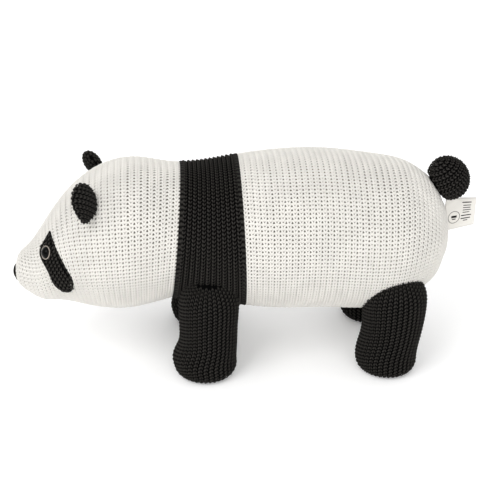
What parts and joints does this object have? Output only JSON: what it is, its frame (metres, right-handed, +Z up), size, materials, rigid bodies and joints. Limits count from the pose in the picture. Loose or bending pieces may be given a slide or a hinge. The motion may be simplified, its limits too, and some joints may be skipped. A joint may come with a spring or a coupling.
{
  "type": "plush panda",
  "caption": "Stuffed knitted panda cushion on four legs: tube body with open-work white knit, black knit band, legs, ears, eye patches and ball tail.",
  "frame": {"origin": "on the ground under the middle of the toy's bounding box", "axes": "+X from nose to tail along the longest extent, +Y the toy's right side, +Z up"},
  "size_m": [0.5178, 0.189, 0.2365],
  "materials": {
    "white_knit": "matte open-work cotton knit",
    "black_knit": "matte cotton knit",
    "seam_yarn": "black joining yarn",
    "lining_cloth": "matte woven lining",
    "fibre_filling": "white polyester fibre",
    "eye_cap": "gloss black",
    "eye_rim": "satin grey-brown",
    "lock_washer": "matte natural",
    "nose_thread": "black satin-stitch thread",
    "label_cloth": "woven white label tape",
    "label_thread": "white sewing thread"
  },
  "bodies": {
    "torso": {"head_cover": "white_knit", "shoulder_band": "black_knit", "body_cover": "white_knit", "neck_seam_yarn": "seam_yarn", "waist_seam_yarn": "seam_yarn", "trunk_lining": "lining_cloth", "trunk_filling": "fibre_filling", "left_eye_patch": "black_knit", "left_eye": "eye_cap", "left_eye_rim": "eye_rim", "left_eye_washer": "lock_washer", "right_eye_patch": "black_knit", "right_eye": "eye_cap", "right_eye_rim": "eye_rim", "right_eye_washer": "lock_washer", "nose_embroidery": "nose_thread", "mouth_stitches": "nose_thread"},
    "front_left_leg": {"front_left_leg_cover": "black_knit", "front_left_leg_lining": "lining_cloth", "front_left_leg_filling": "fibre_filling", "front_left_leg_tie_yarn": "seam_yarn"},
    "front_right_leg": {"front_right_leg_cover": "black_knit", "front_right_leg_lining": "lining_cloth", "front_right_leg_filling": "fibre_filling", "front_right_leg_tie_yarn": "seam_yarn"},
    "rear_left_leg": {"rear_left_leg_cover": "black_knit", "rear_left_leg_lining": "lining_cloth", "rear_left_leg_filling": "fibre_filling", "rear_left_leg_tie_yarn": "seam_yarn"},
    "rear_right_leg": {"rear_right_leg_cover": "black_knit", "rear_right_leg_lining": "lining_cloth", "rear_right_leg_filling": "fibre_filling", "rear_right_leg_tie_yarn": "seam_yarn"},
    "left_ear": {"left_ear_cover": "black_knit", "left_ear_wadding": "fibre_filling"},
    "right_ear": {"right_ear_cover": "black_knit", "right_ear_wadding": "fibre_filling"},
    "tail": {"tail_cover": "black_knit", "tail_filling": "fibre_filling", "tail_tie_yarn": "seam_yarn"},
    "label": {"care_label": "label_cloth", "label_thread": "label_thread"}
  },
  "joints": [
    {"name": "front_left_leg_bend", "type": "hinge", "parent": "torso", "child": "front_left_leg", "pos_m": [-0.045, -0.06, 0.088], "axis": [0, 1, 0], "range_deg": [-15, 15], "stiffness_Nm_per_rad": 1.5},
    {"name": "front_right_leg_bend", "type": "hinge", "parent": "torso", "child": "front_right_leg", "pos_m": [-0.045, 0.06, 0.088], "axis": [0, 1, 0], "range_deg": [-15, 15], "stiffness_Nm_per_rad": 1.5},
    {"name": "rear_left_leg_bend", "type": "hinge", "parent": "torso", "child": "rear_left_leg", "pos_m": [0.161, -0.06, 0.088], "axis": [0, 1, 0], "range_deg": [-15, 15], "stiffness_Nm_per_rad": 1.5},
    {"name": "rear_right_leg_bend", "type": "hinge", "parent": "torso", "child": "rear_right_leg", "pos_m": [0.161, 0.06, 0.088], "axis": [0, 1, 0], "range_deg": [-15, 15], "stiffness_Nm_per_rad": 1.5},
    {"name": "left_ear_fold", "type": "hinge", "parent": "torso", "child": "left_ear", "pos_m": [-0.16543, -0.05247, 0.1992], "axis": [-0.0008, 0.7424, 0.6699], "range_deg": [-15, 15], "stiffness_Nm_per_rad": 0.05},
    {"name": "right_ear_fold", "type": "hinge", "parent": "torso", "child": "right_ear", "pos_m": [-0.16543, 0.05247, 0.1992], "axis": [0.0008, 0.7424, -0.6699], "range_deg": [-15, 15], "stiffness_Nm_per_rad": 0.05},
    {"name": "tail_rock", "type": "hinge", "parent": "torso", "child": "tail", "pos_m": [0.20975, 0, 0.19609], "axis": [0, 1, 0], "range_deg": [-12, 12], "stiffness_Nm_per_rad": 0.05},
    {"name": "label_flap", "type": "hinge", "parent": "torso", "child": "label", "pos_m": [0.2232, 0, 0.155], "axis": [0, 0, 1], "range_deg": [-60, 60], "stiffness_Nm_per_rad": 0.002}
  ]
}
